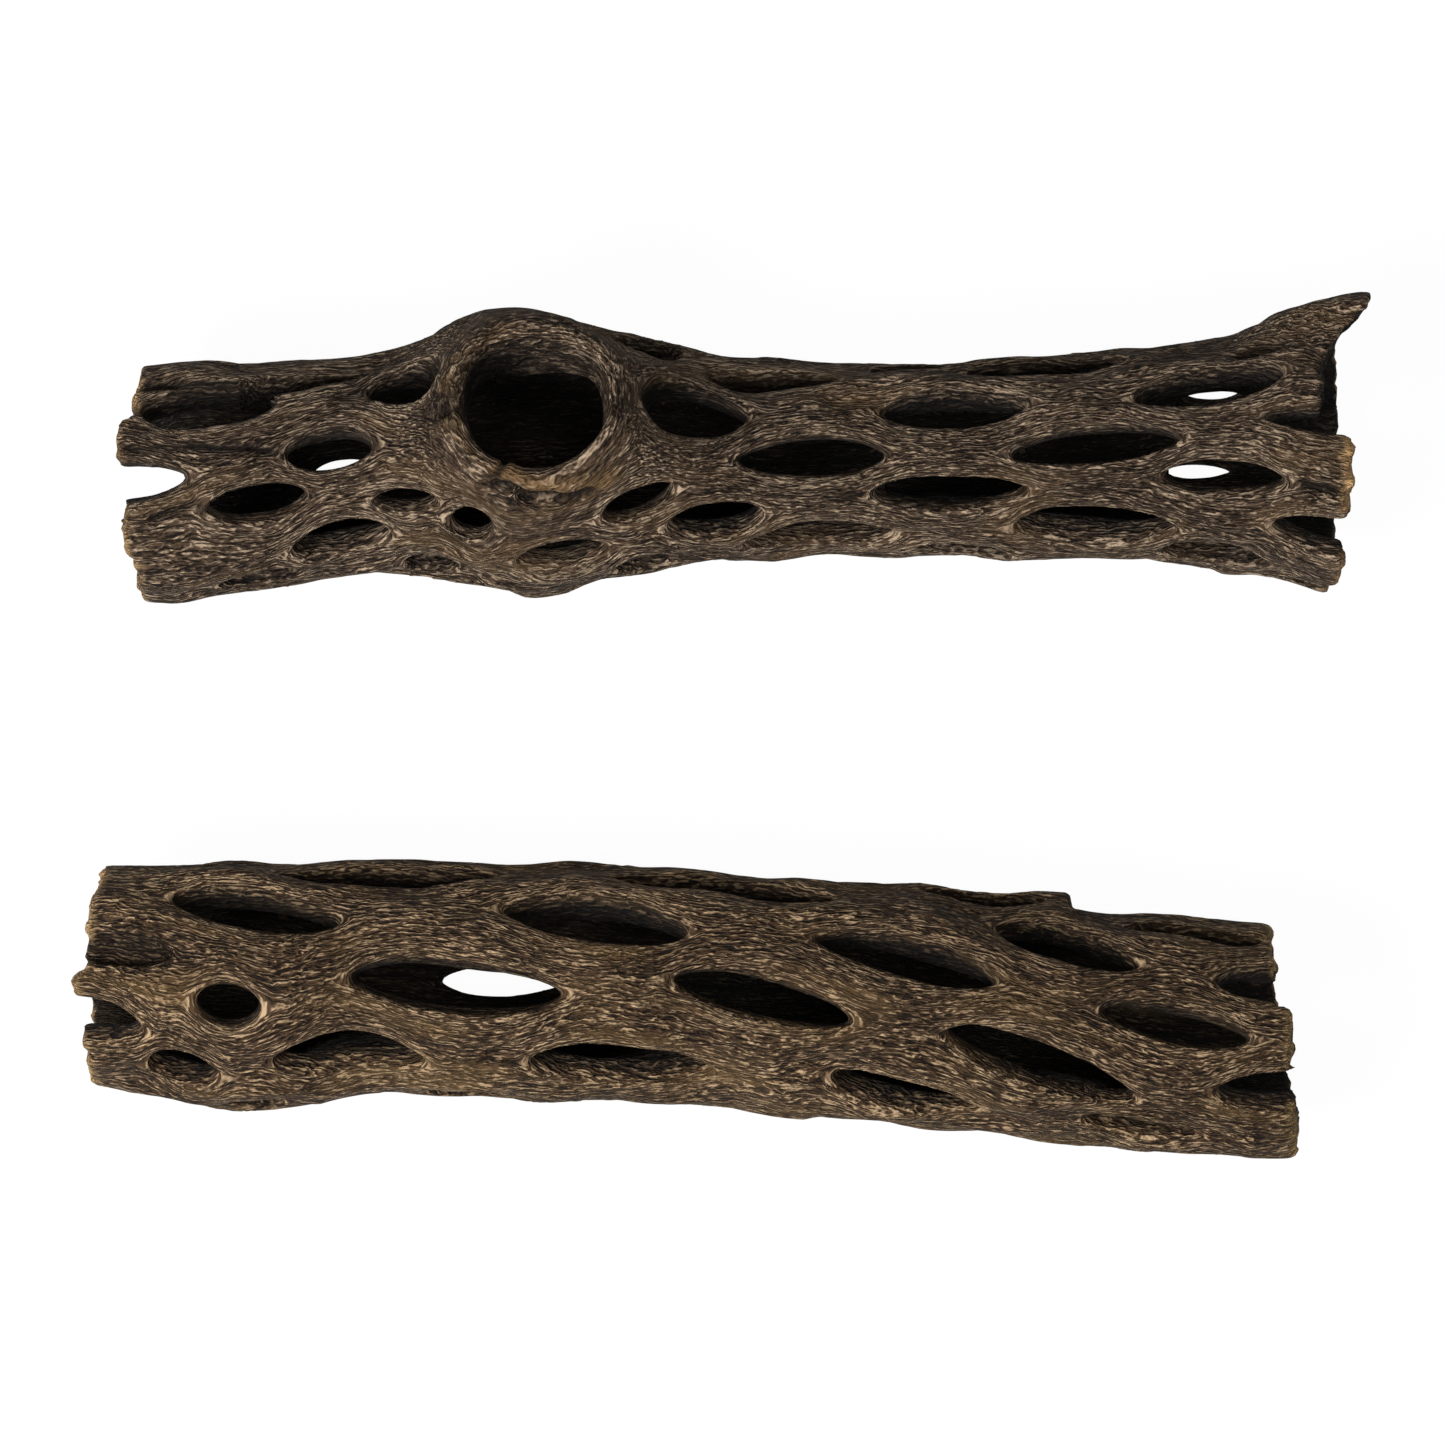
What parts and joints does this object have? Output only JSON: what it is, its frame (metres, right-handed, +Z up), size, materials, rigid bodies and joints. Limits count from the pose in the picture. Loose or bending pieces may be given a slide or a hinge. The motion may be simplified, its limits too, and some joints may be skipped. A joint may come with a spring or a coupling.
{
  "type": "cholla wood hide pair",
  "caption": "Pair of loose hollow cholla wood logs with lens-shaped windows in their walls, one with a large knot hole and a spur, laid side by side as a fish hide.",
  "frame": {"origin": "middle of the pair's bounding box, on the flat bed that both logs lie on", "axes": "+X along both logs towards the end with the spur, +Y from the straight log to the knot log, +Z up from the bed"},
  "size_m": [0.1623, 0.1079, 0.0359],
  "materials": {
    "knot_log_wood": "dull, weathered grey-brown, fibrous grain",
    "straight_log_wood": "dull, weathered tan-brown, fibrous grain"
  },
  "bodies": {
    "root": {"knot_log": "knot_log_wood", "straight_log": "straight_log_wood"}
  },
  "joints": []
}
